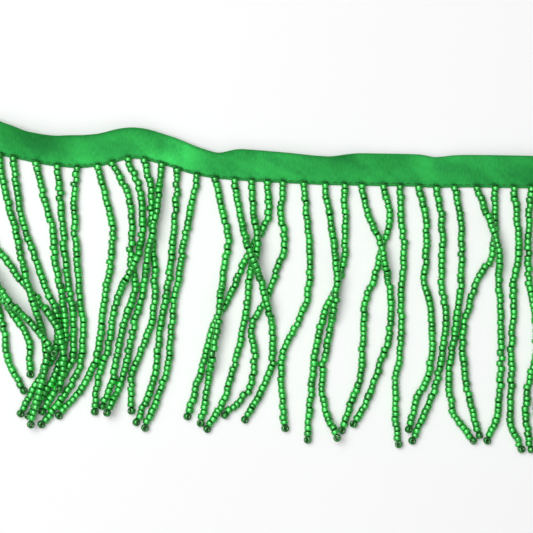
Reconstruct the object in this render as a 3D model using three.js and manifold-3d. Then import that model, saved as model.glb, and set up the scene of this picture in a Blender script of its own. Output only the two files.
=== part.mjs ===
// A cut length of beaded fringe trim lying on a table: a narrow satin ribbon with strands of seed beads
// sewn along its lower edge. Millimetres, +X along the ribbon, strands falling towards -Y, +Z up.
// The origin is on the underside of the ribbon, where it lies flat, halfway across its width.
import * as THREE from 'three';
import { mergeVertices } from 'three/addons/utils/BufferGeometryUtils.js';
import Module from 'manifold-3d';

// Ribbon heading
const RIBBON_WIDTH = 10;
const RIBBON_THICKNESS = 1;
const RIBBON_STEP = 2.4;
const RIBBON_CELLS_ACROSS = 4;
const RIBBON_CURL = 1.3; // how much later than a straight slope the raised edge lifts

// Stitched strip that carries the strands, below the ribbon's lower edge
const EDGE_GAP = 0.3;
const EDGE_WIDTH = 1;
const EDGE_HEIGHT = 1;
const EDGE_END_INSET = 0.5;
const ROOT_DEPTH = 0.6;

// Bead strands
const STRAND_WIDTH = 2;
const STRAND_HEIGHT = 2;
const STRAND_STEP = 3.2;
const STRAND_SAMPLE = 1;

// How a strand climbs over the strands below it
const OVER_REACH = 2.3; // closer than this in plan, the upper strand has to be over the lower one
const OVER_HEIGHT = 2.4;
const OVER_SLOPE = 0.62;
const OVER_HOLD = 1.5;
const OVER_SOFTEN = 1.5;

const SATIN_GREEN = '#229a40';
const BEAD_GREEN = '#1c8a35';

// The ribbon from its left cut to its right cut: place along X, the Y of its lower edge, and the
// angle in degrees by which its upper edge stands up from the table.
const RIBBON_STATIONS = [
  { at: -148, lower: 12.2, tilt: 5 },
  { at: -133, lower: 8.9, tilt: 8 },
  { at: -122, lower: 4.8, tilt: 12 },
  { at: -114, lower: 3.0, tilt: 28 },
  { at: -105, lower: 1.3, tilt: 22 },
  { at: -97, lower: 0.7, tilt: 4 },
  { at: -90, lower: 1.4, tilt: 12 },
  { at: -80, lower: 3.6, tilt: 18 },
  { at: -72, lower: 2.0, tilt: 24 },
  { at: -61, lower: -1.4, tilt: 33 },
  { at: -55, lower: -2.5, tilt: 38 },
  { at: -46, lower: -3.3, tilt: 14 },
  { at: -35, lower: -3.9, tilt: 20 },
  { at: -20, lower: -4.6, tilt: 29 },
  { at: -6, lower: -4.9, tilt: 0 },
  { at: 6, lower: -5.1, tilt: 0 },
  { at: 14, lower: -5.5, tilt: 19 },
  { at: 24, lower: -5.4, tilt: 0 },
  { at: 45, lower: -5.7, tilt: 0 },
  { at: 60, lower: -5.9, tilt: 6 },
];

// The strands from left to right: where each leaves the ribbon along X, how far it reaches towards -Y,
// its layer in the heap (1 lies on the table), and how far it has swayed along X at each eighth of
// its reach.
const STRANDS = [
  { root: -144.1, reach: 75.1, layer: 2, sway: [1.3, 3.8, 7.5, 12.2, 19.7, 26.6, 31.7, 31.8] },
  { root: -138.8, reach: 67.3, layer: 4, sway: [1.3, 3.4, 6.6, 10.6, 14.7, 19.8, 28.0, 34.4] },
  { root: -133.1, reach: 77.7, layer: 1, sway: [0.9, 2.8, 5.3, 7.8, 10.0, 12.4, 13.8, 18.7] },
  { root: -127.5, reach: 75.0, layer: 2, sway: [0.5, 1.4, 3.4, 9.7, 17.2, 24.0, 25.8, 24.4] },
  { root: -121.9, reach: 84.0, layer: 3, sway: [1.6, 4.3, 6.9, 9.6, 12.8, 14.8, 12.7, 10.0] },
  { root: -117.8, reach: 79.7, layer: 1, sway: [1.5, 3.4, 6.9, 10.1, 14.1, 13.2, 7.9, 2.5] },
  { root: -110.3, reach: 79.0, layer: 1, sway: [2.2, 4.8, 5.8, 7.4, 9.0, 8.2, 4.1, -2.5] },
  { root: -103.8, reach: 76.5, layer: 1, sway: [0.9, 1.7, 2.6, 3.7, 5.2, 5.2, 1.1, -4.7] },
  { root: -97.7, reach: 80.0, layer: 2, sway: [-0.9, -0.7, 0.2, 1.0, 1.9, 1.3, -3.3, -11.1] },
  { root: -91.3, reach: 77.8, layer: 1, sway: [2.8, 4.8, 4.2, 2.6, 1.3, 0.0, -4.1, -12.0] },
  { root: -86.6, reach: 75.9, layer: 1, sway: [4.8, 5.9, 5.6, 7.0, 4.4, 1.9, 0.3, -3.1] },
  { root: -81.9, reach: 78.8, layer: 2, sway: [4.0, 4.7, 3.4, -1.6, -4.5, -6.1, -9.2, -10.3] },
  { root: -76.7, reach: 78.3, layer: 1, sway: [2.3, 2.4, 2.9, 3.4, 2.6, -0.6, -4.0, -4.0] },
  { root: -71.4, reach: 77.5, layer: 2, sway: [-0.8, -2.2, -4.4, -5.5, -8.0, -10.1, -12.4, -16.7] },
  { root: -66.4, reach: 78.9, layer: 1, sway: [-0.5, -1.3, -2.1, -3.5, -5.3, -6.3, -8.5, -12.8] },
  { root: -60.1, reach: 78.8, layer: 1, sway: [-2.0, -3.9, -5.5, -7.4, -8.3, -9.1, -12.4, -16.4] },
  { root: -54.4, reach: 76.4, layer: 2, sway: [2.0, 3.9, 2.4, 1.3, 0.4, -1.4, -2.8, -4.7] },
  { root: -48.4, reach: 74.7, layer: 3, sway: [1.4, 3.5, 7.0, 9.7, 11.8, 11.7, 8.4, 3.1] },
  { root: -43.3, reach: 77.3, layer: 2, sway: [0.7, 2.0, -0.4, -1.3, -3.3, -5.5, -8.3, -13.8] },
  { root: -38.4, reach: 73.1, layer: 1, sway: [0.6, -3.9, -8.4, -12.2, -17.2, -19.4, -22.2, -24.9] },
  { root: -33.4, reach: 72.5, layer: 1, sway: [-0.7, 0.6, -2.1, -5.3, -9.8, -8.8, -10.3, -18.1] },
  { root: -26.9, reach: 76.2, layer: 1, sway: [1.0, 1.8, 1.8, 0.3, -4.4, -7.1, -6.6, -5.9] },
  { root: -20.2, reach: 78.8, layer: 2, sway: [1.4, 2.8, 3.6, 2.5, 0.7, -1.0, -0.3, 3.6] },
  { root: -14.4, reach: 79.4, layer: 1, sway: [0.4, 0.4, -1.7, -6.2, -8.5, -9.8, -10.8, -11.3] },
  { root: -9.1, reach: 74.4, layer: 2, sway: [2.7, 6.2, 8.1, 9.4, 8.9, 5.8, 2.8, -2.2] },
  { root: -1.9, reach: 76.2, layer: 1, sway: [1.9, -0.6, -3.2, -6.3, -6.6, -7.1, -9.9, -13.2] },
  { root: 3.0, reach: 80.5, layer: 1, sway: [0.6, 1.3, 0.6, 0.6, 0.4, -1.2, -1.4, -0.3] },
  { root: 8.9, reach: 75.6, layer: 1, sway: [2.2, 2.5, 1.7, 3.8, 4.2, 3.5, -0.5, -3.1] },
  { root: 14.2, reach: 78.9, layer: 1, sway: [2.0, 2.1, 1.9, 3.3, 2.3, 0.6, -2.7, -7.3] },
  { root: 20.2, reach: 79.0, layer: 1, sway: [1.9, 2.1, 1.9, 0.8, -0.6, -1.9, -0.7, 5.7] },
  { root: 27.2, reach: 79.0, layer: 2, sway: [3.6, 6.6, 6.7, 7.4, 7.5, 7.1, 6.6, 3.1] },
  { root: 32.7, reach: 77.2, layer: 1, sway: [0.2, -0.5, -5.5, -8.7, -10.2, -9.4, -7.5, -4.9] },
  { root: 38.4, reach: 81.5, layer: 1, sway: [1.3, 1.6, 0.2, -0.1, -0.5, -0.7, -1.1, 2.5] },
  { root: 43.9, reach: 81.5, layer: 1, sway: [-0.5, -0.8, -0.4, 1.6, 1.7, -0.9, -1.5, 0.0] },
  { root: 49.4, reach: 80.0, layer: 1, sway: [0.8, 1.6, 1.6, 0.6, -0.4, -3.2, -3.6, -1.5] },
  { root: 54.8, reach: 79.5, layer: 1, sway: [-0.4, 0.5, 1.2, 0.8, -0.6, -1.3, 0.3, 2.0] },
];

const wasm = await Module();
wasm.setup();

/** A smooth curve through a table's rows that doesn't swing past them. */
function curveThrough(places, values) {
  const last = places.length - 1;
  const rise = (i) => (values[i + 1] - values[i]) / (places[i + 1] - places[i]);
  const lean = places.map((_, i) => {
    if (i === 0) return rise(0);
    if (i === last) return rise(last - 1);
    const before = rise(i - 1);
    const after = rise(i);
    return before * after <= 0 ? 0 : (2 * before * after) / (before + after);
  });
  return (place) => {
    let i = 0;
    while (i < last - 1 && place > places[i + 1]) i += 1;
    const span = places[i + 1] - places[i];
    const t = (place - places[i]) / span;
    const held = (1 + 2 * t) * (1 - t) * (1 - t) * values[i] + t * t * (3 - 2 * t) * values[i + 1];
    const bent = t * (1 - t) * (1 - t) * lean[i] - t * t * (1 - t) * lean[i + 1];
    return held + bent * span;
  };
}

const stationPlaces = RIBBON_STATIONS.map((station) => station.at);
const lowerEdge = curveThrough(stationPlaces, RIBBON_STATIONS.map((station) => station.lower));
const ribbonTilt = curveThrough(stationPlaces, RIBBON_STATIONS.map((station) => station.tilt));
const RIBBON_START = stationPlaces[0];
const RIBBON_END = stationPlaces[stationPlaces.length - 1];

/** The point beside the lower edge at x, `across` mm towards the ribbon's upper edge in plan. */
function besideEdge(x, across) {
  const nearby = 0.5;
  const slope = (lowerEdge(x + nearby) - lowerEdge(x - nearby)) / (2 * nearby);
  const length = Math.hypot(1, slope);
  return new THREE.Vector2(x - (across * slope) / length, lowerEdge(x) + across / length);
}

/** Moves the corners of a unit box, whose sides are 0 to 1, to where `place` puts them. */
function shapedBox(cellsX, cellsY, place) {
  const box = new THREE.BoxGeometry(1, 1, 1, cellsX, cellsY, 1).translate(0.5, 0.5, 0.5);
  const corners = box.getAttribute('position');
  for (let i = 0; i < corners.count; i += 1) {
    const corner = place(corners.getX(i), corners.getY(i), corners.getZ(i));
    corners.setXYZ(i, corner.x, corner.y, corner.z);
  }
  box.deleteAttribute('normal');
  box.deleteAttribute('uv');
  return mergeVertices(box);
}

/** The satin ribbon: flat along its lower edge, its upper edge lifted by each station's tilt. */
function satinRibbon() {
  const steps = Math.round((RIBBON_END - RIBBON_START) / RIBBON_STEP);
  return shapedBox(steps, RIBBON_CELLS_ACROSS, (along, across, up) => {
    const x = THREE.MathUtils.lerp(RIBBON_START, RIBBON_END, along);
    const tilt = THREE.MathUtils.degToRad(ribbonTilt(x));
    const { x: planX, y } = besideEdge(x, RIBBON_WIDTH * across * Math.cos(tilt));
    const underside = RIBBON_WIDTH * Math.sin(tilt) * across ** RIBBON_CURL;
    return new THREE.Vector3(planX, y, underside + up * RIBBON_THICKNESS);
  });
}

/** The stitched strip along the lower edge, a little inside the ribbon's cut ends. */
function stitchedEdge() {
  const start = RIBBON_START + EDGE_END_INSET;
  const end = RIBBON_END - EDGE_END_INSET;
  const steps = Math.round((end - start) / RIBBON_STEP);
  return shapedBox(steps, 1, (along, across, up) => {
    const x = THREE.MathUtils.lerp(start, end, along);
    const { x: planX, y } = besideEdge(x, (across - 1) * EDGE_WIDTH - EDGE_GAP);
    return new THREE.Vector3(planX, y, up * EDGE_HEIGHT);
  });
}

/** A strand's centre line in plan, from its root in the strip to its tip, with the length so far. */
function strandPath({ root, reach, sway }) {
  const eighths = [0, ...sway].map((_, i) => i / sway.length);
  const sideways = curveThrough(eighths, [0, ...sway]);
  const start = lowerEdge(root) - ROOT_DEPTH;
  const count = Math.round(reach / STRAND_SAMPLE);
  const path = [];
  for (let i = 0; i <= count; i += 1) {
    const share = i / count;
    const point = { x: root + sideways(share), y: start - share * (reach - ROOT_DEPTH), length: 0 };
    const before = path[i - 1];
    if (before) point.length = before.length + Math.hypot(point.x - before.x, point.y - before.y);
    path.push(point);
  }
  return path;
}

/** How high a strand has to be at one point to pass over the strands already laid. */
function heightNeeded(point, laid) {
  let height = 0;
  for (const path of laid) {
    for (const other of path) {
      const apart = Math.hypot(point.x - other.x, point.y - other.y);
      if (apart < OVER_REACH) height = Math.max(height, other.height + OVER_HEIGHT);
    }
  }
  return height;
}

/** Gives each point of a path its height: long low humps over what it crosses, else on the table. */
function layOver(path, laid) {
  const needed = path.map((point) => heightNeeded(point, laid));
  const ramped = path.map((point) => {
    const reaches = path.map((other, i) => {
      const away = Math.max(0, Math.abs(other.length - point.length) - OVER_HOLD);
      return needed[i] - OVER_SLOPE * away;
    });
    return Math.max(0, ...reaches);
  });
  path.forEach((point) => {
    let total = 0;
    let weights = 0;
    path.forEach((other, i) => {
      const away = Math.abs(other.length - point.length) / OVER_SOFTEN;
      if (away > 1) return;
      const weight = 1 + Math.cos(Math.PI * away);
      total += weight * ramped[i];
      weights += weight;
    });
    point.height = total / weights;
  });
}

/** Every strand's path, the lower layers settled first. */
function settledPaths() {
  const laid = [];
  const byLayer = [...STRANDS].sort((a, b) => a.layer - b.layer);
  for (const strand of byLayer) {
    const path = strandPath(strand);
    layOver(path, laid);
    laid.push(path);
  }
  return laid;
}

/** The point of a path at a given length from its root, and its heading there. */
function alongPath(path, length) {
  let i = 0;
  while (i < path.length - 2 && length > path[i + 1].length) i += 1;
  const from = path[i];
  const to = path[i + 1];
  const share = (length - from.length) / (to.length - from.length);
  const before = path[Math.max(0, i - 1)];
  const after = path[Math.min(path.length - 1, i + 2)];
  return {
    x: THREE.MathUtils.lerp(from.x, to.x, share),
    y: THREE.MathUtils.lerp(from.y, to.y, share),
    height: THREE.MathUtils.lerp(from.height, to.height, share),
    heading: Math.atan2(after.y - before.y, after.x - before.x),
  };
}

/** One strand as a four-sided bar that follows its path, its underside level from side to side. */
function strandBar(path) {
  const total = path[path.length - 1].length;
  const steps = Math.round(total / STRAND_STEP);
  return shapedBox(steps, 1, (along, across, up) => {
    const { x, y, height, heading } = alongPath(path, along * total);
    const side = (across - 0.5) * STRAND_WIDTH;
    return new THREE.Vector3(
      x - side * Math.sin(heading),
      y + side * Math.cos(heading),
      height + up * STRAND_HEIGHT,
    );
  });
}

function toSolid(geometry) {
  return new wasm.Manifold(new wasm.Mesh({
    numProp: 3,
    vertProperties: new Float32Array(geometry.getAttribute('position').array),
    triVerts: new Uint32Array(geometry.index.array),
  }));
}

function toGeometry(solid) {
  const { vertProperties, triVerts } = solid.getMesh();
  const geometry = new THREE.BufferGeometry();
  geometry.setAttribute('position', new THREE.BufferAttribute(vertProperties, 3));
  geometry.setIndex(new THREE.BufferAttribute(triVerts, 1));
  return geometry;
}

/** The strip and every strand, fused at the roots. */
function beadFringe() {
  let fringe = toSolid(stitchedEdge());
  for (const path of settledPaths()) fringe = fringe.add(toSolid(strandBar(path)));
  return toGeometry(fringe);
}

function namedMesh(name, geometry, color, roughness, metalness) {
  geometry.computeVertexNormals();
  const material = new THREE.MeshStandardMaterial({ color, roughness, metalness });
  const mesh = new THREE.Mesh(geometry, material);
  mesh.name = name;
  return mesh;
}

const group = new THREE.Group();
group.add(
  namedMesh('satin_ribbon', satinRibbon(), SATIN_GREEN, 0.35, 0),
  namedMesh('bead_fringe', beadFringe(), BEAD_GREEN, 0.2, 0.3),
);

export default group;
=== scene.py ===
"""A beaded fringe trim: satin ribbon, sewn strands of silver-lined seed beads, on a pale table."""

import logging
import math
from collections.abc import Sequence
from dataclasses import dataclass, field
from enum import Enum

import bpy
import numpy as np
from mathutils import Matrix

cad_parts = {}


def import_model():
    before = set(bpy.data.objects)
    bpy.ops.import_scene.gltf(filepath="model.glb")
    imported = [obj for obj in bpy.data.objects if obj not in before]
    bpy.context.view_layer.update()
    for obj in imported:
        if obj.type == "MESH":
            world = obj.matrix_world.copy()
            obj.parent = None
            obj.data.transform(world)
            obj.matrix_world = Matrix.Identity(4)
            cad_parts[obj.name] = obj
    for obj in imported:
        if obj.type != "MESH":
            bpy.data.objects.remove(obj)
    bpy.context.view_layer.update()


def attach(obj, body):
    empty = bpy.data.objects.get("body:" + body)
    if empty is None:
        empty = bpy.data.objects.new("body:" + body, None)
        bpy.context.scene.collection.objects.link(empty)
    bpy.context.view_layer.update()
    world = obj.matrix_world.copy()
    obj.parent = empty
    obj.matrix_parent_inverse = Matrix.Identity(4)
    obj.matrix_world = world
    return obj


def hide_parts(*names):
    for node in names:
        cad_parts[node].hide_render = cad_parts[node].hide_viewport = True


log = logging.getLogger("trim")

Colour = tuple[float, float, float]

MM = 0.001
UP = np.array([0.0, 0.0, 1.0])
THREAD_ROUNDNESS = 1
THREAD_STEPS = 2
THREAD_ORDER = 3
BODY = "root"


class Slot(Enum):
    """The material slots."""

    SATIN = "satin_ribbon"
    BEADS = "seed_beads"
    THREAD = "sewing_thread"


@dataclass(frozen=True)
class Station:
    """One row of the ribbon's course: X, its lower edge's Y there, and its tilt in degrees."""

    at: float
    lower: float
    tilt: float


@dataclass(frozen=True)
class Lie:
    """One row of how the cloth lies: X, and how high its upper edge stands there."""

    at: float
    upper: float


@dataclass(frozen=True)
class Fall:
    """One strand: its root's X, how far it reaches, its layer, and its X from the root at each eighth."""

    root: float
    reach: float
    layer: int
    sway: tuple[float, ...]


RIBBON_STATIONS = (
    Station(-148, 12.2, 5),
    Station(-133, 8.9, 8),
    Station(-122, 4.8, 12),
    Station(-114, 3.0, 28),
    Station(-105, 1.3, 22),
    Station(-97, 0.7, 4),
    Station(-90, 1.4, 12),
    Station(-80, 3.6, 18),
    Station(-72, 2.0, 24),
    Station(-61, -1.4, 33),
    Station(-55, -2.5, 38),
    Station(-46, -3.3, 14),
    Station(-35, -3.9, 20),
    Station(-20, -4.6, 29),
    Station(-6, -4.9, 0),
    Station(6, -5.1, 0),
    Station(14, -5.5, 19),
    Station(24, -5.4, 0),
    Station(45, -5.7, 0),
    Station(60, -5.9, 6),
)

RIBBON_LIE = (
    Lie(-148, 1.6),
    Lie(-133, 2.6),
    Lie(-124, 4.0),
    Lie(-118, 5.0),
    Lie(-113, 5.2),
    Lie(-105, 4.7),
    Lie(-97, 4.0),
    Lie(-89, 3.9),
    Lie(-84, 3.8),
    Lie(-80, 3.5),
    Lie(-75, 2.8),
    Lie(-71, 2.3),
    Lie(-67, 2.2),
    Lie(-63, 2.5),
    Lie(-57, 3.0),
    Lie(-52, 3.1),
    Lie(-47, 2.8),
    Lie(-42, 2.6),
    Lie(-36, 2.9),
    Lie(-31, 3.2),
    Lie(-25, 3.3),
    Lie(-19, 3.0),
    Lie(-13, 2.5),
    Lie(-6, 2.0),
    Lie(2, 1.5),
    Lie(8, 1.4),
    Lie(14, 1.6),
    Lie(20, 1.9),
    Lie(26, 2.2),
    Lie(32, 2.5),
    Lie(38, 2.7),
    Lie(45, 2.7),
    Lie(60, 2.5),
)

STRANDS = (
    Fall(-144.1, 75.1, 2, (1.3, 3.8, 7.5, 12.2, 19.7, 26.6, 31.7, 31.8)),
    Fall(-138.8, 67.3, 4, (1.3, 3.4, 6.6, 10.6, 14.7, 19.8, 28.0, 34.4)),
    Fall(-133.1, 77.7, 1, (0.9, 2.8, 5.3, 7.8, 10.0, 12.4, 13.8, 18.7)),
    Fall(-127.5, 75.0, 2, (0.5, 1.4, 3.4, 9.7, 17.2, 24.0, 25.8, 24.4)),
    Fall(-121.9, 84.0, 3, (1.6, 4.3, 6.9, 9.6, 12.8, 14.8, 12.7, 10.0)),
    Fall(-117.8, 79.7, 1, (1.5, 3.4, 6.9, 10.1, 14.1, 13.2, 7.9, 2.5)),
    Fall(-110.3, 79.0, 1, (2.2, 4.8, 5.8, 7.4, 9.0, 8.2, 4.1, -2.5)),
    Fall(-103.8, 76.5, 1, (0.9, 1.7, 2.6, 3.7, 5.2, 5.2, 1.1, -4.7)),
    Fall(-97.7, 80.0, 2, (-0.9, -0.7, 0.2, 1.0, 1.9, 1.3, -3.3, -11.1)),
    Fall(-91.3, 77.8, 1, (2.8, 4.8, 4.2, 2.6, 1.3, 0.0, -4.1, -12.0)),
    Fall(-86.6, 75.9, 1, (4.8, 5.9, 5.6, 7.0, 4.4, 1.9, 0.3, -3.1)),
    Fall(-81.9, 78.8, 2, (4.0, 4.7, 3.4, -1.6, -4.5, -6.1, -9.2, -10.3)),
    Fall(-76.7, 78.3, 1, (2.3, 2.4, 2.9, 3.4, 2.6, -0.6, -4.0, -4.0)),
    Fall(-71.4, 77.5, 2, (-0.8, -2.2, -4.4, -5.5, -8.0, -10.1, -12.4, -16.7)),
    Fall(-66.4, 78.9, 1, (-0.5, -1.3, -2.1, -3.5, -5.3, -6.3, -8.5, -12.8)),
    Fall(-60.1, 78.8, 1, (-2.0, -3.9, -5.5, -7.4, -8.3, -9.1, -12.4, -16.4)),
    Fall(-54.4, 76.4, 2, (2.0, 3.9, 2.4, 1.3, 0.4, -1.4, -2.8, -4.7)),
    Fall(-48.4, 74.7, 3, (1.4, 3.5, 7.0, 9.7, 11.8, 11.7, 8.4, 3.1)),
    Fall(-43.3, 77.3, 2, (0.7, 2.0, -0.4, -1.3, -3.3, -5.5, -8.3, -13.8)),
    Fall(-38.4, 73.1, 1, (0.6, -3.9, -8.4, -12.2, -17.2, -19.4, -22.2, -24.9)),
    Fall(-33.4, 72.5, 1, (-0.7, 0.6, -2.1, -5.3, -9.8, -8.8, -10.3, -18.1)),
    Fall(-26.9, 76.2, 1, (1.0, 1.8, 1.8, 0.3, -4.4, -7.1, -6.6, -5.9)),
    Fall(-20.2, 78.8, 2, (1.4, 2.8, 3.6, 2.5, 0.7, -1.0, -0.3, 3.6)),
    Fall(-14.4, 79.4, 1, (0.4, 0.4, -1.7, -6.2, -8.5, -9.8, -10.8, -11.3)),
    Fall(-9.1, 74.4, 2, (2.7, 6.2, 8.1, 9.4, 8.9, 5.8, 2.8, -2.2)),
    Fall(-1.9, 76.2, 1, (1.9, -0.6, -3.2, -6.3, -6.6, -7.1, -9.9, -13.2)),
    Fall(3.0, 80.5, 1, (0.6, 1.3, 0.6, 0.6, 0.4, -1.2, -1.4, -0.3)),
    Fall(8.9, 75.6, 1, (2.2, 2.5, 1.7, 3.8, 4.2, 3.5, -0.5, -3.1)),
    Fall(14.2, 78.9, 1, (2.0, 2.1, 1.9, 3.3, 2.3, 0.6, -2.7, -7.3)),
    Fall(20.2, 79.0, 1, (1.9, 2.1, 1.9, 0.8, -0.6, -1.9, -0.7, 5.7)),
    Fall(27.2, 79.0, 2, (3.6, 6.6, 6.7, 7.4, 7.5, 7.1, 6.6, 3.1)),
    Fall(32.7, 77.2, 1, (0.2, -0.5, -5.5, -8.7, -10.2, -9.4, -7.5, -4.9)),
    Fall(38.4, 81.5, 1, (1.3, 1.6, 0.2, -0.1, -0.5, -0.7, -1.1, 2.5)),
    Fall(43.9, 81.5, 1, (-0.5, -0.8, -0.4, 1.6, 1.7, -0.9, -1.5, 0.0)),
    Fall(49.4, 80.0, 1, (0.8, 1.6, 1.6, 0.6, -0.4, -3.2, -3.6, -1.5)),
    Fall(54.8, 79.5, 1, (-0.4, 0.5, 1.2, 0.8, -0.6, -1.3, 0.3, 2.0)),
)


class TableCurve:
    """A smooth curve through a table's rows that doesn't swing past them."""

    def __init__(self, places: Sequence[float], values: Sequence[float]) -> None:
        """Works out the curve's slope at each row.

        Args:
            places: Where the rows are, in rising order.
            values: The value at each row.
        """
        self.places = np.asarray(places, float)
        self.values = np.asarray(values, float)
        rise = np.diff(self.values) / np.diff(self.places)
        before, after = rise[:-1], rise[1:]
        agree = before * after > 0
        harmonic = 2 * before * after / np.where(agree, before + after, 1)
        self.lean = np.concatenate([rise[:1], np.where(agree, harmonic, 0), rise[-1:]])

    def __call__(self, place: np.ndarray) -> np.ndarray:
        """Reads the curve.

        Args:
            place: One place or an array of them.

        Returns:
            The curve's value at each place.
        """
        i = np.clip(np.searchsorted(self.places, place) - 1, 0, len(self.places) - 2)
        span = self.places[i + 1] - self.places[i]
        t = (place - self.places[i]) / span
        held = (1 + 2 * t) * (1 - t) ** 2 * self.values[i] + t * t * (3 - 2 * t) * self.values[i + 1]
        bent = t * (1 - t) ** 2 * self.lean[i] - t * t * (1 - t) * self.lean[i + 1]
        return held + bent * span


class RibbonCourse:
    """Where the ribbon runs in plan: its lower edge, and the width that its tilt leaves in view."""

    WIDTH = 10.0
    NEARBY = 0.5
    LENGTH_SAMPLES = 2000

    def __init__(self, stations: tuple[Station, ...]) -> None:
        """Draws the lower edge and the tilt as curves.

        Args:
            stations: The ribbon's table.
        """
        places = [station.at for station in stations]
        self.lower = TableCurve(places, [station.lower for station in stations])
        self.tilt = TableCurve(places, [station.tilt for station in stations])
        self.start, self.end = places[0], places[-1]

    def plan(self, x: np.ndarray, share: np.ndarray) -> tuple[np.ndarray, np.ndarray]:
        """Finds points of the ribbon in plan.

        Args:
            x: Place along the lower edge, in millimetres.
            share: How far across, from 0 at the lower edge to 1 at the upper.

        Returns:
            The X and Y of each point.
        """
        across = self.WIDTH * share * np.cos(np.radians(self.tilt(x)))
        slope = (self.lower(x + self.NEARBY) - self.lower(x - self.NEARBY)) / (2 * self.NEARBY)
        length = np.hypot(1, slope)
        return x - across * slope / length, self.lower(x) + across / length

    def length(self) -> float:
        """Measures the lower edge, which is the length that the ribbon was cut to."""
        x = np.linspace(self.start, self.end, self.LENGTH_SAMPLES)
        return float(np.hypot(np.diff(x), np.diff(self.lower(x))).sum())


class StrandCourses:
    """Every strand's centre line: its path in plan and the height of its underside, in millimetres.

    A strand rises by OVER_HEIGHT where it comes within OVER_REACH of one already laid. From
    OVER_HOLD away it comes down at OVER_SLOPE, and OVER_SOFTEN rounds the corners of the hump.
    """

    ROOT_DEPTH = 0.6
    SAMPLE = 1.0
    OVER_REACH = 2.3
    OVER_HEIGHT = 2.4
    OVER_SLOPE = 0.62
    OVER_HOLD = 1.5
    OVER_SOFTEN = 1.5

    def __init__(self, ribbon: RibbonCourse, strands: tuple[Fall, ...]) -> None:
        """Lays the strands, the lower layers first.

        Args:
            ribbon: The ribbon that they hang from.
            strands: The strands' table.
        """
        self.ribbon = ribbon
        laid: list[np.ndarray] = []
        self.courses: dict[int, np.ndarray] = {}
        for index in sorted(range(len(strands)), key=lambda i: strands[i].layer):
            path = self._path(strands[index])
            course = np.column_stack([path, self._heights(path, laid)])
            laid.append(course)
            self.courses[index] = course

    def _path(self, strand: Fall) -> np.ndarray:
        """Draws a strand in plan.

        Args:
            strand: The strand's row.

        Returns:
            One row for each sample, with X and Y.
        """
        eighths = np.linspace(0, 1, len(strand.sway) + 1)
        sideways = TableCurve(eighths, (0.0, *strand.sway))
        start = self.ribbon.lower(strand.root) - self.ROOT_DEPTH
        share = np.linspace(0, 1, round(strand.reach / self.SAMPLE) + 1)
        fall = start - share * (strand.reach - self.ROOT_DEPTH)
        return np.column_stack([strand.root + sideways(share), fall])

    def _heights(self, path: np.ndarray, laid: list[np.ndarray]) -> np.ndarray:
        """Works out the long low humps by which a strand passes over those already laid.

        Args:
            path: The strand's X and Y.
            laid: The strands already laid, with X, Y and height.

        Returns:
            The height of the strand's underside at each sample.
        """
        needed = np.zeros(len(path))
        for other in laid:
            apart = np.hypot(*(path[:, None, :] - other[None, :, :2]).transpose(2, 0, 1))
            over = np.where(apart < self.OVER_REACH, other[None, :, 2] + self.OVER_HEIGHT, 0)
            needed = np.maximum(needed, over.max(1))
        step = np.hypot(*np.diff(path, axis=0).T)
        length = np.concatenate([[0], np.cumsum(step)])
        away = np.abs(length[:, None] - length[None, :])
        ramped = needed[None, :] - self.OVER_SLOPE * np.maximum(0, away - self.OVER_HOLD)
        ramped = np.maximum(0, ramped.max(1))
        weight = np.where(away <= self.OVER_SOFTEN, 1 + np.cos(np.pi * away / self.OVER_SOFTEN), 0)
        return weight @ ramped / weight.sum(1)


@dataclass(frozen=True)
class SoftBox:
    """One square area light, its place and side in metres and its power in watts."""

    name: str
    place: tuple[float, float, float]
    side: float
    power: float


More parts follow.
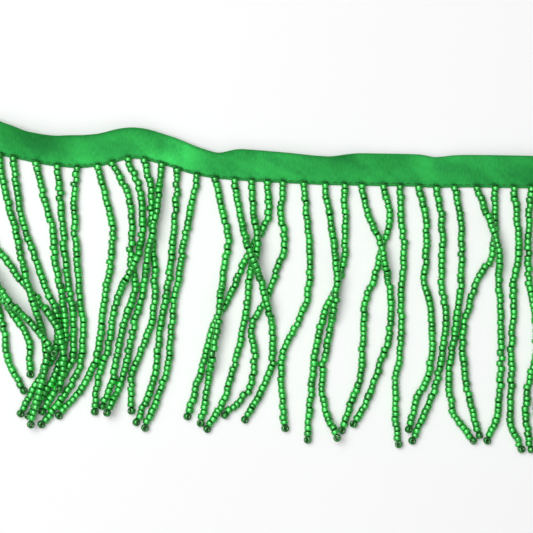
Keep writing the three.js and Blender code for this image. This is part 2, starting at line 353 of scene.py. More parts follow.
class Studio:
    """The pale table, the soft lights and the camera straight above.

    Places and heights are in metres. The millimetres that a pixel shows, and the pixel where the
    part's origin lies, set the camera's frame.
    """

    MM_PER_PIXEL = 0.3125
    FRAME_PIXELS = 533
    ORIGIN_PIXEL = (390.0, 170.0)
    CAMERA_HEIGHT = 0.75
    SENSOR = 36.0
    TABLE_SIZE = 6.0
    TABLE_DROP = 0.00002
    TABLE_COLOUR = (0.9, 0.9, 0.905)
    TABLE_ROUGHNESS = 0.65
    SOFT_BOXES = (
        SoftBox("soft_box_left", (-0.44, 0.2, 1.1), 0.9, 12.7),
        SoftBox("soft_box_front", (-0.12, -0.72, 0.95), 0.85, 1.9),
    )
    LIGHT_TARGET = (-0.0386, -0.03, 0.0)
    SURROUND_BELOW = (0.35, 0.35, 0.36)
    SURROUND_ABOVE = (1.0, 1.0, 1.0)
    SURROUND_STRENGTH = 0.36

    def camera(self) -> None:
        """Sets the camera at the photograph's place, looking straight down."""
        half = self.FRAME_PIXELS / 2
        x = (half - self.ORIGIN_PIXEL[0]) * self.MM_PER_PIXEL * MM
        y = (self.ORIGIN_PIXEL[1] - half) * self.MM_PER_PIXEL * MM
        width = self.FRAME_PIXELS * self.MM_PER_PIXEL * MM
        data = bpy.data.cameras.new("camera")
        data.sensor_width = self.SENSOR
        data.lens = self.SENSOR * self.CAMERA_HEIGHT / width
        camera = bpy.data.objects.new("camera", data)
        camera.location = (x, y, self.CAMERA_HEIGHT)
        bpy.context.collection.objects.link(camera)
        bpy.context.scene.camera = camera

    def table(self) -> None:
        """Lays a large pale table top just under the trim."""
        bpy.ops.mesh.primitive_plane_add(size=self.TABLE_SIZE, location=(0, 0, -self.TABLE_DROP))
        table = bpy.context.object
        table.name = "table_top"
        material, shader = new_material("pale_table")
        shader.inputs["Base Color"].default_value = (*self.TABLE_COLOUR, 1)
        shader.inputs["Roughness"].default_value = self.TABLE_ROUGHNESS
        table.data.materials.append(material)

    def lights(self) -> None:
        """Hangs the soft boxes and sets the surround."""
        for box in self.SOFT_BOXES:
            self._hang(box)
        self._surround()

    def _surround(self) -> None:
        """Sets a pale surround that is brighter overhead."""
        world = bpy.data.worlds.new("surround")
        bpy.context.scene.world = world
        world.use_nodes = True
        nodes, links = world.node_tree.nodes, world.node_tree.links
        back = nodes["Background"]
        coords = nodes.new("ShaderNodeTexCoord")
        split = nodes.new("ShaderNodeSeparateXYZ")
        ramp = nodes.new("ShaderNodeValToRGB")
        links.new(coords.outputs["Generated"], split.inputs[0])
        links.new(split.outputs["Z"], ramp.inputs[0])
        ramp.color_ramp.elements[0].color = (*self.SURROUND_BELOW, 1)
        ramp.color_ramp.elements[1].color = (*self.SURROUND_ABOVE, 1)
        links.new(ramp.outputs[0], back.inputs["Color"])
        back.inputs["Strength"].default_value = self.SURROUND_STRENGTH

    def _hang(self, box: SoftBox) -> None:
        """Hangs one light, aimed at the middle of the trim.

        Args:
            box: The light.
        """
        data = bpy.data.lights.new(box.name, "AREA")
        data.size = box.side
        data.energy = box.power
        light = bpy.data.objects.new(box.name, data)
        light.location = box.place
        away = np.array(box.place) - np.array(self.LIGHT_TARGET)
        light.rotation_euler = (
            math.acos(away[2] / np.linalg.norm(away)),
            0,
            math.atan2(away[1], away[0]) + math.pi / 2,
        )
        bpy.context.collection.objects.link(light)


def new_material(name: str) -> tuple[bpy.types.Material, bpy.types.Node]:
    """Starts a material.

    Args:
        name: The material's name.

    Returns:
        The material and its Principled shader node.
    """
    material = bpy.data.materials.new(name)
    material.use_nodes = True
    return material, material.node_tree.nodes["Principled BSDF"]


def mix_colours(
    tree: bpy.types.NodeTree,
    factor: bpy.types.NodeSocket,
    low: Colour | bpy.types.NodeSocket,
    high: Colour,
) -> bpy.types.NodeSocket:
    """Blends two colours.

    Args:
        tree: The material's node tree.
        factor: What blends them, from 0 to 1.
        low: The colour at 0, or the socket that gives it.
        high: The colour at 1.

    Returns:
        The blended colour's socket.
    """
    mix = tree.nodes.new("ShaderNodeMix")
    mix.data_type = "RGBA"
    if isinstance(low, bpy.types.NodeSocket):
        tree.links.new(low, mix.inputs["A"])
    else:
        mix.inputs["A"].default_value = (*low, 1)
    mix.inputs["B"].default_value = (*high, 1)
    tree.links.new(factor, mix.inputs["Factor"])
    return mix.outputs["Result"]


@dataclass(frozen=True)
class SilverLinedGlass:
    """Green glass over a silver lining, as an opaque bright body under a glassy coat."""

    # deep shows at the bead ends as painted shade where beads meet and on darker beads; light shows at the
    # belts as a painted highlight.
    deep: Colour = (0.002, 0.19, 0.012)
    light: Colour = (0.055, 0.76, 0.105)
    rim: Colour = (0.0, 0.03, 0.002)
    body_roughness: float = 0.55
    coat_weight: float = 1.0
    coat_roughness: float = 0.08
    coat_ior: float = 1.7

    def make(self) -> bpy.types.Material:
        """Builds the material, which reads each bead's own tone times its painted light and shade."""
        material, shader = new_material("green_bead_glass")
        tree = material.node_tree
        # The attribute holds each bead's random tone times painted light and shade: painted highlight at
        # belts, painted shade at ends.
        tone = tree.nodes.new("ShaderNodeAttribute")
        tone.attribute_name = BeadString.TONE_AND_PAINTED_LIGHT
        colour = mix_colours(tree, tone.outputs["Fac"], self.deep, self.light)
        tree.links.new(colour, shader.inputs["Base Color"])
        shader.inputs["Metallic"].default_value = 1.0
        shader.inputs["Roughness"].default_value = self.body_roughness
        shader.inputs["Specular Tint"].default_value = (*self.rim, 1)
        shader.inputs["Coat Weight"].default_value = self.coat_weight
        shader.inputs["Coat Roughness"].default_value = self.coat_roughness
        shader.inputs["Coat IOR"].default_value = self.coat_ior
        return material


@dataclass(frozen=True)
class SilverLining:
    """The metal film inside each bead's hole, its silver dimmed and tinted green as painted shade in the
    hole.
    """

    # Far darker than silver: painted shade in the hole.
    colour: Colour = (0.24, 0.42, 0.22)
    roughness: float = 0.45

    def make(self) -> bpy.types.Material:
        """Builds the material."""
        material, shader = new_material("silver_lining")
        shader.inputs["Base Color"].default_value = (*self.colour, 1)
        shader.inputs["Metallic"].default_value = 1.0
        shader.inputs["Roughness"].default_value = self.roughness
        return material


@dataclass(frozen=True)
class SatinFinish:
    """Green satin: bright threads along the ribbon, a fine grain, soft patches of painted sheen and ribbed
    selvedges.

    Sizes across and along the cloth are in ribbon widths, the bump's height in millimetres.
    """

    # deep and light are blended by the cloth's own grain and by the painted sheen patches.
    deep: Colour = (0.013, 0.28, 0.05)
    light: Colour = (0.028, 0.46, 0.078)
    edge: Colour = (0.018, 0.28, 0.05)
    roughness: float = 0.36
    edge_roughness: float = 0.5
    metallic: float = 0.75
    stretch_of_shine: float = 0.8
    turn_of_shine: float = 0.25
    grain_size: tuple[float, float] = (0.038, 0.16)
    grain_detail: float = 5.0
    # Soft leaning patches that lighten and darken the cloth's colour: painted sheen.
    sheen_patch_size: tuple[float, float] = (1.3, 0.62)
    sheen_patch_lean: float = -25.0
    sheen_patch_detail: float = 2.0
    sheen_patch_share: float = 0.55
    noise_middle: float = 0.5
    contrast: float = 0.12
    rib_scale: float = 32.0
    lower_edge: float = 0.075
    upper_edge: float = 0.975
    softness: float = 0.01
    bump_height: float = 0.03
    bump_strength: float = 0.5

    def make(self) -> bpy.types.Material:
        """Builds the material on the ribbon's own map."""
        material, shader = new_material("green_satin")
        tree = material.node_tree
        uv = tree.nodes.new("ShaderNodeUVMap")
        uv.uv_map = SatinRibbon.MAP
        grain = self._noise(tree, uv, self.grain_size, 0.0, self.grain_detail)
        # The grain is the weave's own; the leaning patches are painted sheen.
        painted_sheen_patches = self._noise(tree, uv, self.sheen_patch_size, self.sheen_patch_lean, self.sheen_patch_detail)
        blend = tree.nodes.new("ShaderNodeMix")
        blend.inputs["Factor"].default_value = self.sheen_patch_share
        tree.links.new(grain, blend.inputs["A"])
        tree.links.new(painted_sheen_patches, blend.inputs["B"])
        grain_and_painted_sheen = tree.nodes.new("ShaderNodeMapRange")
        grain_and_painted_sheen.inputs["From Min"].default_value = self.noise_middle - self.contrast
        grain_and_painted_sheen.inputs["From Max"].default_value = self.noise_middle + self.contrast
        tree.links.new(blend.outputs["Result"], grain_and_painted_sheen.inputs["Value"])
        cloth = mix_colours(tree, grain_and_painted_sheen.outputs["Result"], self.deep, self.light)
        edges = self._edges(tree, uv)
        tree.links.new(mix_colours(tree, edges, cloth, self.edge), shader.inputs["Base Color"])
        self._shine(tree, shader, edges)
        self._relief(tree, shader, uv, grain, edges)
        return material

    @staticmethod
    def _noise(
        tree: bpy.types.NodeTree,
        uv: bpy.types.Node,
        size: tuple[float, float],
        lean: float,
        detail: float,
    ) -> bpy.types.NodeSocket:
        """Adds noise stretched over the ribbon's map.

        Args:
            tree: The material's node tree.
            uv: The map's node.
            size: How large its spots are along and across the ribbon, in ribbon widths.
            lean: How far they are turned, in degrees.
            detail: How many finer layers it has.

        Returns:
            The noise's socket.
        """
        stretch = tree.nodes.new("ShaderNodeMapping")
        stretch.vector_type = "TEXTURE"
        stretch.inputs["Scale"].default_value = (*size, 1.0)
        stretch.inputs["Rotation"].default_value = (0, 0, math.radians(lean))
        tree.links.new(uv.outputs["UV"], stretch.inputs["Vector"])
        noise = tree.nodes.new("ShaderNodeTexNoise")
        noise.inputs["Scale"].default_value = 1.0
        noise.inputs["Detail"].default_value = detail
        tree.links.new(stretch.outputs["Vector"], noise.inputs["Vector"])
        return noise.outputs["Fac"]

    def _edges(self, tree: bpy.types.NodeTree, uv: bpy.types.Node) -> bpy.types.NodeSocket:
        """Marks the two selvedges with 1 and the cloth between them with 0."""
        split = tree.nodes.new("ShaderNodeSeparateXYZ")
        tree.links.new(uv.outputs["UV"], split.inputs[0])
        ramp = tree.nodes.new("ShaderNodeValToRGB")
        tree.links.new(split.outputs["Y"], ramp.inputs[0])
        stops = ramp.color_ramp.elements
        stops[0].position, stops[0].color = self.lower_edge, (1, 1, 1, 1)
        stops[1].position, stops[1].color = self.upper_edge, (1, 1, 1, 1)
        for place in (self.lower_edge + self.softness, self.upper_edge - self.softness):
            stops.new(place).color = (0, 0, 0, 1)
        return ramp.outputs["Color"]

    def _shine(
        self, tree: bpy.types.NodeTree, shader: bpy.types.Node, edges: bpy.types.NodeSocket
    ) -> None:
        """Spreads the shine across the ribbon, as threads that run along it do.

        Args:
            tree: The material's node tree.
            shader: The surface shader.
            edges: The selvedges' mask.
        """
        rough = tree.nodes.new("ShaderNodeMapRange")
        rough.inputs["To Min"].default_value = self.roughness
        rough.inputs["To Max"].default_value = self.edge_roughness
        tree.links.new(edges, rough.inputs["Value"])
        tree.links.new(rough.outputs["Result"], shader.inputs["Roughness"])
        shader.inputs["Metallic"].default_value = self.metallic
        shader.inputs["Anisotropic"].default_value = self.stretch_of_shine
        shader.inputs["Anisotropic Rotation"].default_value = self.turn_of_shine
        tangent = tree.nodes.new("ShaderNodeTangent")
        tangent.direction_type = "UV_MAP"
        tangent.uv_map = SatinRibbon.MAP
        tree.links.new(tangent.outputs["Tangent"], shader.inputs["Tangent"])

    def _relief(
        self,
        tree: bpy.types.NodeTree,
        shader: bpy.types.Node,
        uv: bpy.types.Node,
        grain: bpy.types.NodeSocket,
        edges: bpy.types.NodeSocket,
    ) -> None:
        """Raises the grain slightly and ribs the selvedges.

        Args:
            tree: The material's node tree.
            shader: The surface shader.
            uv: The map's node.
            grain: The grain's noise.
            edges: The selvedges' mask.
        """
        ribs = tree.nodes.new("ShaderNodeTexWave")
        ribs.inputs["Scale"].default_value = self.rib_scale
        tree.links.new(uv.outputs["UV"], ribs.inputs["Vector"])
        height = tree.nodes.new("ShaderNodeMix")
        tree.links.new(edges, height.inputs["Factor"])
        tree.links.new(grain, height.inputs["A"])
        tree.links.new(ribs.outputs["Fac"], height.inputs["B"])
        bump = tree.nodes.new("ShaderNodeBump")
        bump.inputs["Strength"].default_value = self.bump_strength
        bump.inputs["Distance"].default_value = self.bump_height * MM
        tree.links.new(height.outputs["Result"], bump.inputs["Height"])
        tree.links.new(bump.outputs["Normal"], shader.inputs["Normal"])


@dataclass(frozen=True)
class ThreadFinish:
    """Dark green twisted sewing thread."""

    colour: Colour = (0.008, 0.11, 0.02)
    roughness: float = 0.7

    def make(self) -> bpy.types.Material:
        """Builds the material."""
        material, shader = new_material("green_thread")
        shader.inputs["Base Color"].default_value = (*self.colour, 1)
        shader.inputs["Roughness"].default_value = self.roughness
        return material


def finish_piece(piece: bpy.types.Object, slot: Slot, *nodes: str) -> None:
    """Rides a piece on the trim and hides the solids that it stands for.

    Args:
        piece: The piece.
        slot: Not used.
        nodes: The solids that it replaces.
    """
    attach(piece, BODY)
    if nodes:
        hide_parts(*nodes)
    log.info("%s: %d faces", piece.name, len(piece.data.polygons))


@dataclass
class SatinRibbon:
    """The ribbon heading: one cut piece of satin with its two woven edges, in millimetres.

    The cloth curls up from its lower edge to the height of its lie at the upper edge. Its under face
    stands a clearance and a base over that, thicker at the selvedges, and the sewing presses it down
    along a groove and in a soft pull at each strand's root.
    """

    MAP = "ribbon_map"
    STITCH_AT = 0.85

    course: RibbonCourse
    lie: TableCurve
    strands: tuple[Fall, ...]
    cells_along: int = 640
    cells_across: int = 30
    even_rows: float = 0.35
    crease: float = 50.0
    thickness: float = 0.3
    curl: float = 1.3
    clearance: float = 0.02
    base: float = 0.12
    selvedge_in: float = 0.3
    selvedge_width: float = 0.3
    selvedge_rise: float = 0.07
    groove_width: float = 0.28
    groove_depth: float = 0.1
    pull_along: float = 1.5
    pull_across: float = 1.6
    pull_depth: float = 0.03

    def build(self) -> bpy.types.Object:
        """Returns:
            The finished piece.
        """
        piece = self._sheet()
        piece.data.materials.append(SatinFinish().make())
        length = self.course.length()
        finish_piece(piece, Slot.SATIN, "satin_ribbon")
        return piece

    def relief(self, x: np.ndarray, share: np.ndarray) -> np.ndarray:
        """Gives the small relief of the cloth: thick woven edges, the sewn groove and soft pulls.

        Args:
            x: Place along the lower edge, in millimetres.
            share: How far across, from 0 to 1.

        Returns:
            How far the under face stands over the cloth's plain lie.
        """
        across = share * self.course.WIDTH
        edge = np.minimum(across, self.course.WIDTH - across)
        woven = self.selvedge_rise * np.exp(-(((edge - self.selvedge_in) / self.selvedge_width) ** 2))
        groove = self.groove_depth * np.exp(-(((across - self.STITCH_AT) / self.groove_width) ** 2))
        pull = np.zeros_like(across)
        for strand in self.strands:
            near = np.exp(-(((x - strand.root) / self.pull_along) ** 2))
            pull += near * np.exp(-(((across - self.STITCH_AT) / self.pull_across) ** 2))
        return self.clearance + np.maximum(0, woven + self.base - groove - self.pull_depth * pull)

    def top(self, x: float, across: float) -> np.ndarray:
        """Finds a point on the ribbon's upper face.

        Args:
            x: Place along the lower edge, in millimetres.
            across: Distance from it towards the upper edge.

        Returns:
            The point.
        """
        place = self.face(np.array([x]), np.array([across / self.course.WIDTH]))[0]
        return place + (0, 0, self.thickness)

    def face(self, x: np.ndarray, share: np.ndarray) -> np.ndarray:
        """Finds points on the ribbon's under face.

        Args:
            x: Place along the lower edge, in millimetres.
            share: How far across, from 0 to 1.

        Returns:
            One row for each point.
        """
        plan_x, plan_y = self.course.plan(x, share)
        height = self.lie(x) * np.maximum(share, 0) ** self.curl
        return np.column_stack([plan_x, plan_y, height + self.relief(x, share)])

    def _sheet(self) -> bpy.types.Object:
        """Lays a fine grid along the ribbon's course, its rows closer at the edges, and thickens it."""
        bpy.ops.mesh.primitive_grid_add(
            x_subdivisions=self.cells_along, y_subdivisions=self.cells_across, size=1.0
        )
        piece = bpy.context.object
        piece.name = "ribbon"
        mesh = piece.data
        flat = np.empty(len(mesh.vertices) * 3)
        mesh.vertices.foreach_get("co", flat)
        flat = flat.reshape(-1, 3)[:, :2] + 0.5
        x = self.course.start + flat[:, 0] * (self.course.end - self.course.start)
        crowded = 0.5 - 0.5 * np.cos(np.pi * flat[:, 1])
        share = self.even_rows * flat[:, 1] + (1 - self.even_rows) * crowded
        mesh.vertices.foreach_set("co", (self.face(x, share) * MM).ravel())
        corner = np.empty(len(mesh.loops), int)
        mesh.loops.foreach_get("vertex_index", corner)
        layer = mesh.uv_layers.active
        layer.name = self.MAP
        uv = np.column_stack([(x - self.course.start) / self.course.WIDTH, share])[corner]
        layer.data.foreach_set("uv", uv.ravel())
        solid = piece.modifiers.new("thickness", "SOLIDIFY")
        solid.thickness = self.thickness * MM
        solid.offset = 1.0
        bpy.ops.object.modifier_apply(modifier=solid.name)
        bpy.ops.object.shade_smooth_by_angle(angle=math.radians(self.crease))
        return piece


@dataclass(frozen=True)
class BeadMesh:
    """A bead modelled once: its corners, faces, which faces line the hole, and its painted light and shade.

    The painted light and shade is 1 at the belt, a painted highlight of the lining, and falls to 0 at the
    ends, painted shade where beads meet.
    """

    corners: np.ndarray
    faces: np.ndarray
    lining: np.ndarray
    painted_light_and_shade: np.ndarray


@dataclass
class SeedBead:
    """One seed bead, a drilled and fire-rounded slice of glass tube, its hole along Z, in millimetres.

    It keeps its full width over the belt's share of its length. Then its shoulders run in to the
    ends, where the hole's rim lies a little lower.
    """

    BORE_TOLERANCE = 0.01

    diameter: float = 2.42
    hole: float = 0.95
    length: float = 1.62
    sides: int = 10
    belt: float = 0.6
    shoulder_in: float = 0.19
    hole_up: float = 0.84
    # How light the shoulders are painted, between the belt's painted highlight and the ends' painted shade.
    shoulder_painted_light: float = 0.45

    def profile(self) -> list[tuple[float, float]]:
        """Gives half of the section, from the belt to the hole, as radius and height."""
        outer, inner, top = self.diameter / 2, self.hole / 2, self.length / 2
        return [
            (outer, top * self.belt),
            (outer - self.shoulder_in, top),
            (inner, top * self.hole_up),
        ]

    def model(self) -> BeadMesh:
        """Models the bead and takes it off the stage.

        Returns:
            The bead's mesh, centred, in millimetres.
        """
        half = self.profile()
        section = np.array(half + [(radius, -height) for radius, height in reversed(half)])
        bpy.ops.mesh.primitive_torus_add(
            major_segments=self.sides,
            minor_segments=len(section),
            major_radius=self.diameter,
            minor_radius=self.diameter / 2,
        )
        bead = bpy.context.object
        mesh = bead.data
        ring = np.empty(len(mesh.vertices) * 3)
        mesh.vertices.foreach_get("co", ring)
        turn = np.arctan2(ring[1::3], ring[0::3])
        radius, height = np.tile(section, (self.sides, 1)).T
        corners = np.column_stack([radius * np.cos(turn), radius * np.sin(turn), height])
        faces = np.array([polygon.vertices[:] for polygon in mesh.polygons])
        from_axis = np.hypot(corners[:, 0], corners[:, 1])[faces].max(1)
        bore = from_axis < self.hole / 2 + self.BORE_TOLERANCE
        # Painted highlight at the belt, painted shade at the ends and the hole's rim where beads meet.
        half_painted_light = [1.0, self.shoulder_painted_light, 0.0]
        painted_light_and_shade = np.tile(half_painted_light + half_painted_light[::-1], self.sides)
        bpy.data.objects.remove(bead)
        return BeadMesh(corners, faces, bore, painted_light_and_shade)


@dataclass
class BeadString:
    """One strand's beads: where each sits along its course, and how it is turned, in millimetres.

    The first bead overlaps the ribbon's lower edge and is lifted over it. The last one is the stop,
    whose middle and hole's axis are known once the beads are placed.
    """

    # Each bead's random tone times the painted light and shade of its belt and ends.
    TONE_AND_PAINTED_LIGHT = "bead_tone_and_painted_light"
    LENGTH_LIMITS = (0.72, 1.3)
    WIDTH_LIMITS = (0.87, 1.1)
    TONE_LIMITS = (0.35, 1.0)
    PLAY_LIMIT = 2.0
    STOP_LEAN = (15.0, 75.0)
    AIM = 0.5
    UPRIGHT = 0.9

    course: np.ndarray
    root: float
    seed: int
    bead: SeedBead = field(default_factory=SeedBead)
    overlap: float = 0.45
    tip_reach: float = 0.1
    lift_at_root: float = 0.42
    lift_run: float = 5.0
    length_spread: float = 0.11
    width_spread: float = 0.055
    turn_spread: float = 0.09
    play: float = 0.17
    tone: float = 0.8
    tone_spread: float = 0.2
    stop_tone: float = 0.3
    stop: tuple[np.ndarray, np.ndarray] | None = None

    def line(self) -> np.ndarray:
        """Gives the threads' line through the beads, from over the ribbon's edge to the tip."""
        start = self.course[0].copy()
        start[1] += StrandCourses.ROOT_DEPTH + self.overlap
        beyond = 2 * self.course[-1] - self.course[-3]
        course = np.vstack([start, self.course, beyond])
        fallen = start[1] - course[:, 1]
        left = np.clip(1 - fallen / self.lift_run, 0, 1)
        lift = self.lift_at_root * left * left * (3 - 2 * left)
        course[:, 2] += lift + self.bead.diameter / 2
        return course

    def place(self) -> tuple[np.ndarray, np.ndarray, np.ndarray]:
        """Threads the beads on.

        Returns:
            Each bead's middle, its turn as a 3 by 3 matrix with its sizes, and its tone.
        """
        random = np.random.default_rng(self.seed)
        line = self.line()
        steps = np.linalg.norm(np.diff(line, axis=0), axis=1)
        along = np.concatenate([[0], np.cumsum(steps)])
        room = along[-2] + self.tip_reach - self.bead.diameter / 2
        count = round(room / self.bead.length)
        long = np.clip(random.normal(1.0, self.length_spread, count), *self.LENGTH_LIMITS)
        sizes = self.bead.length * long
        sizes *= room / sizes.sum()
        places = np.cumsum(sizes) - sizes / 2
        middles = self._points(line, along, places)
        axis = self._points(line, along, places + self.AIM) - self._points(line, along, places - self.AIM)
        axis /= np.linalg.norm(axis, axis=1)[:, None]
        across = np.column_stack([-axis[:, 1], axis[:, 0]])
        axis += random.normal(0, self.turn_spread, axis.shape)
        axis /= np.linalg.norm(axis, axis=1)[:, None]
        wide = np.clip(random.normal(1.0, self.width_spread, count), *self.WIDTH_LIMITS)
        limit = self.PLAY_LIMIT * self.play
        middles[:, :2] += np.clip(random.normal(0, self.play, (count, 1)), -limit, limit) * across
        middles[:, 2] += (wide - 1) * self.bead.diameter / 2
        roll = random.uniform(0, 2 * math.pi, count)
        turn = self._frames(axis, roll, wide, sizes / self.bead.length)
        tone = np.clip(random.normal(self.tone, self.tone_spread, count), *self.TONE_LIMITS)
        tip, tip_turn = self._stop_bead(line, along, room, random)
        return (
            np.vstack([middles, tip]),
            np.concatenate([turn, tip_turn]),
            np.append(tone, self.stop_tone),
        )

    @staticmethod
    def _points(line: np.ndarray, along: np.ndarray, places: np.ndarray) -> np.ndarray:
        """Finds points on the threads' line.

        Args:
            line: The line's own points.
            along: The length so far at each of them.
            places: The lengths to find points at.

        Returns:
            One row for each place.
        """
        return np.column_stack([np.interp(places, along, values) for values in line.T])

    def _frames(self, axis: np.ndarray, roll: np.ndarray, wide: np.ndarray, long: np.ndarray) -> np.ndarray:
        """Builds each bead's turn and size.

        Args:
            axis: The way each hole points.
            roll: The bead's turn about its hole.
            wide: Its width, as a share of the usual one.
            long: Its length, as a share.

        Returns:
            One 3 by 3 matrix for each bead, its columns the bead's own axes.
        """
        helper = np.where(np.abs(axis[:, 2:]) < self.UPRIGHT, UP[None], [[1.0, 0.0, 0.0]])
        side = np.cross(helper, axis)
        side /= np.linalg.norm(side, axis=1)[:, None]
        other = np.cross(axis, side)
        cos, sin = np.cos(roll)[:, None], np.sin(roll)[:, None]
        first = side * cos + other * sin
        second = other * cos - side * sin
        return np.stack([first * wide[:, None], second * wide[:, None], axis * long[:, None]], axis=2)

    def _stop_bead(
        self, line: np.ndarray, along: np.ndarray, done: float, random: np.random.Generator
    ) -> tuple[np.ndarray, np.ndarray]:
        """Adds the last bead, which the thread turns back through, so that its hole faces sideways.

        Args:
            line: The thread's line.
            along: The length so far at each of its points.
            done: The length that the other beads take up.
            random: The strand's own random numbers.

        Returns:
            The bead's middle and its turn.
        """
        middle = self._points(line, along, np.array([done + self.bead.diameter / 2]))
        heading = line[-1] - line[-3]
        heading /= np.linalg.norm(heading)
        side = np.cross(UP, heading)
        side /= np.linalg.norm(side)
        lean = math.radians(random.uniform(*self.STOP_LEAN))
        axis = side * math.cos(lean) * random.choice([-1, 1]) + UP * math.sin(lean)
        self.stop = (middle[0], axis)
        return middle, self._frames(axis[None], np.zeros(1), np.ones(1), np.ones(1))


@dataclass(frozen=True)
class StrandThread:
    """A strand's own thread: two legs from the ribbon, a run through the beads, and a last loop.

    The sizes are in millimetres, and the thread turns back through the stop bead.
    """

    legs: tuple[float, float] = (-0.22, 0.2)
    leg_spread: float = 2.5
    leg_rise: float = 0.28
    sewn_in: float = 0.1
    sewn_depth: float = 0.1
    entry_rise: float = 0.05
    short_of_stop: float = 1.1
    loop_out: float = 0.12
    loop_bulge: float = 0.5

    def runs(self, string: BeadString, ribbon: SatinRibbon) -> list[np.ndarray]:
        """Gives the thread's runs.

        Args:
            string: The strand's beads, already placed.
            ribbon: The ribbon that the strand is sewn to.

        Returns:
            One array of points for each run.
        """
        line = string.line()
        middle, axis = string.stop
        leaves = middle - self.short_of_stop * (line[-1] - line[-3]) / 2
        runs = [np.vstack([line[:-2:2], leaves])]
        entry = line[0] + UP * self.entry_rise
        depth = UP * self.sewn_depth
        for side in self.legs:
            sewn = ribbon.top(string.root + self.leg_spread * side, ribbon.STITCH_AT + self.sewn_in)
            bend = (sewn + entry) / 2 + (side, 0, self.leg_rise)
            runs.append(np.array([sewn - depth, sewn + depth, bend, entry, line[1]]))
        half = string.bead.length / 2 + self.loop_out
        out, back = middle + axis * half, middle - axis * half
        bulge = axis * self.loop_bulge
        runs.append(np.array([leaves, (leaves + out) / 2 + bulge, out, middle]))
        runs.append(np.array([middle, back, (leaves + back) / 2 - bulge, leaves]))
        return runs


@dataclass
class BeadFringe:
    """All the strands, strung in a few joined pieces from left to right."""

    courses: StrandCourses
    strands: tuple[Fall, ...]
    ribbon: SatinRibbon
    thread: StrandThread = field(default_factory=StrandThread)
    pieces: int = 4
    seed: int = 41
    runs: list[np.ndarray] = field(default_factory=list)

    def build(self) -> list[bpy.types.Object]:
        """Strings every strand.

        Returns:
            The finished pieces.
        """
        bead = SeedBead().model()
        materials = [SilverLinedGlass().make(), SilverLining().make()]
        built = []
        for number, group in enumerate(np.array_split(np.arange(len(self.strands)), self.pieces), 1):
            strings = [self.string(int(i)) for i in group]
            placed = [string.place() for string in strings]
            for string in strings:
                self.runs.extend(self.thread.runs(string, self.ribbon))
            middles, turns, tones = (np.concatenate(part) for part in zip(*placed))
            built.append(self._piece(f"bead_strands_{number}", bead, middles, turns, tones, materials))
        return built

    def string(self, index: int) -> BeadString:
        """Gives one strand's string of beads."""
        return BeadString(self.courses.courses[index], self.strands[index].root, self.seed + index)

    def _piece(
        self,
        name: str,
        bead: BeadMesh,
        middles: np.ndarray,
        turns: np.ndarray,
        tones: np.ndarray,
        materials: list[bpy.types.Material],
    ) -> bpy.types.Object:
        """Joins copies of the bead into one piece.

        Args:
            name: The piece's name.
            bead: The bead's mesh.
            middles: Where each copy goes, in millimetres.
            turns: How each is turned and sized.
            tones: Each one's tone, from 0 to 1.
            materials: The glass and the lining.

        Returns:
            The finished piece.
        """
        corners = np.einsum("nij,vj->nvi", turns, bead.corners) + middles[:, None, :]
        sunk = np.minimum(corners[:, :, 2].min(axis=1), 0)
        corners[:, :, 2] -= sunk[:, None]
        first = np.arange(len(middles)) * len(bead.corners)
        faces = bead.faces[None] + first[:, None, None]
        mesh = bpy.data.meshes.new(name)
        mesh.from_pydata((corners.reshape(-1, 3) * MM).tolist(), [], faces.reshape(-1, 4).tolist())
        mesh.polygons.foreach_set("material_index", np.tile(bead.lining, len(middles)).astype(int))
        mesh.polygons.foreach_set("use_smooth", np.ones(len(mesh.polygons), bool))
        # Random tone per bead times painted light and shade: painted highlight at the belts, painted shade
        # at the ends where beads meet.
        tone = mesh.attributes.new(BeadString.TONE_AND_PAINTED_LIGHT, "FLOAT", "POINT")
        tone.data.foreach_set("value", np.outer(tones, bead.painted_light_and_shade).ravel())
        for material in materials:
            mesh.materials.append(material)
        mesh.update()
        piece = bpy.data.objects.new(name, mesh)
        bpy.context.collection.objects.link(piece)
        finish_piece(piece, Slot.BEADS, "bead_fringe")
        return piece


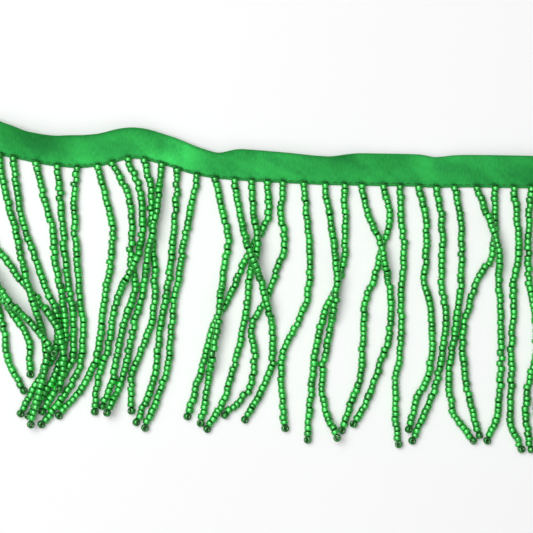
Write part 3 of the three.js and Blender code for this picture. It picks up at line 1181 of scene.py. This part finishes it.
@dataclass
class Sewing:
    """The sewing thread: running stitches along the ribbon's lower edge, and the strands' own thread."""

    DIP = (-0.12, 0.02, 0.04, 0.02, -0.12)

    ribbon: SatinRibbon
    fringe: BeadFringe
    stitch: float = 2.3
    gap: float = 0.25
    end_margin: float = 1.0
    stitch_radius: float = 0.11
    strand_radius: float = 0.13

    def build(self) -> list[bpy.types.Object]:
        """Makes both pieces.

        Returns:
            The finished pieces.
        """
        material = ThreadFinish().make()
        stitches = thread_piece("stitch_line", self._stitches(), self.stitch_radius, material)
        strands = thread_piece("strand_threads", self.fringe.runs, self.strand_radius, material)
        return [stitches, strands]

    def _stitches(self) -> list[np.ndarray]:
        """Lays each stitch over the ribbon, its ends dipping into the cloth."""
        course = self.ribbon.course
        runs = []
        count = int((course.end - course.start - 2 * self.end_margin) / self.stitch)
        for number in range(count):
            start = course.start + self.end_margin + number * self.stitch
            places = np.linspace(start, start + self.stitch - self.gap, len(self.DIP))
            run = np.array([self.ribbon.top(x, self.ribbon.STITCH_AT) for x in places])
            run[:, 2] += self.DIP
            runs.append(run)
        return runs


def thread_piece(
    name: str, runs: list[np.ndarray], radius: float, material: bpy.types.Material
) -> bpy.types.Object:
    """Draws runs of thread as round cords and joins them into one piece.

    Args:
        name: The piece's name.
        runs: The points of each run, in millimetres.
        radius: The thread's radius in millimetres.
        material: What it is made of.

    Returns:
        The finished piece.
    """
    curve = bpy.data.curves.new(name, "CURVE")
    curve.dimensions = "3D"
    curve.bevel_depth = radius * MM
    curve.bevel_resolution = THREAD_ROUNDNESS
    curve.resolution_u = THREAD_STEPS
    curve.use_fill_caps = True
    for run in runs:
        resting = np.column_stack([run[:, :2], np.maximum(run[:, 2], radius)])
        spline = curve.splines.new("NURBS")
        spline.points.add(len(run) - 1)
        spline.points.foreach_set("co", np.column_stack([resting * MM, np.ones(len(run))]).ravel())
        spline.order_u = THREAD_ORDER
        spline.use_endpoint_u = True
    piece = bpy.data.objects.new(name, curve)
    bpy.context.collection.objects.link(piece)
    bpy.ops.object.select_all(action="DESELECT")
    piece.select_set(True)
    bpy.context.view_layer.objects.active = piece
    bpy.ops.object.convert(target="MESH")
    piece.data.materials.clear()
    piece.data.materials.append(material)
    bpy.ops.object.shade_smooth()
    finish_piece(piece, Slot.THREAD)
    return piece


def main() -> None:
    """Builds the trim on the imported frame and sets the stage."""
    logging.basicConfig(level=logging.INFO, format="%(message)s")
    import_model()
    bpy.ops.object.select_all(action="DESELECT")
    studio = Studio()
    studio.camera()
    studio.table()
    studio.lights()
    course = RibbonCourse(RIBBON_STATIONS)
    lie = TableCurve([row.at for row in RIBBON_LIE], [row.upper for row in RIBBON_LIE])
    ribbon = SatinRibbon(course, lie, STRANDS)
    ribbon.build()
    fringe = BeadFringe(StrandCourses(course, STRANDS), STRANDS, ribbon)
    fringe.build()
    Sewing(ribbon, fringe).build()
    bpy.context.scene.view_settings.view_transform = "Standard"


if __name__ == "__main__":
    main()
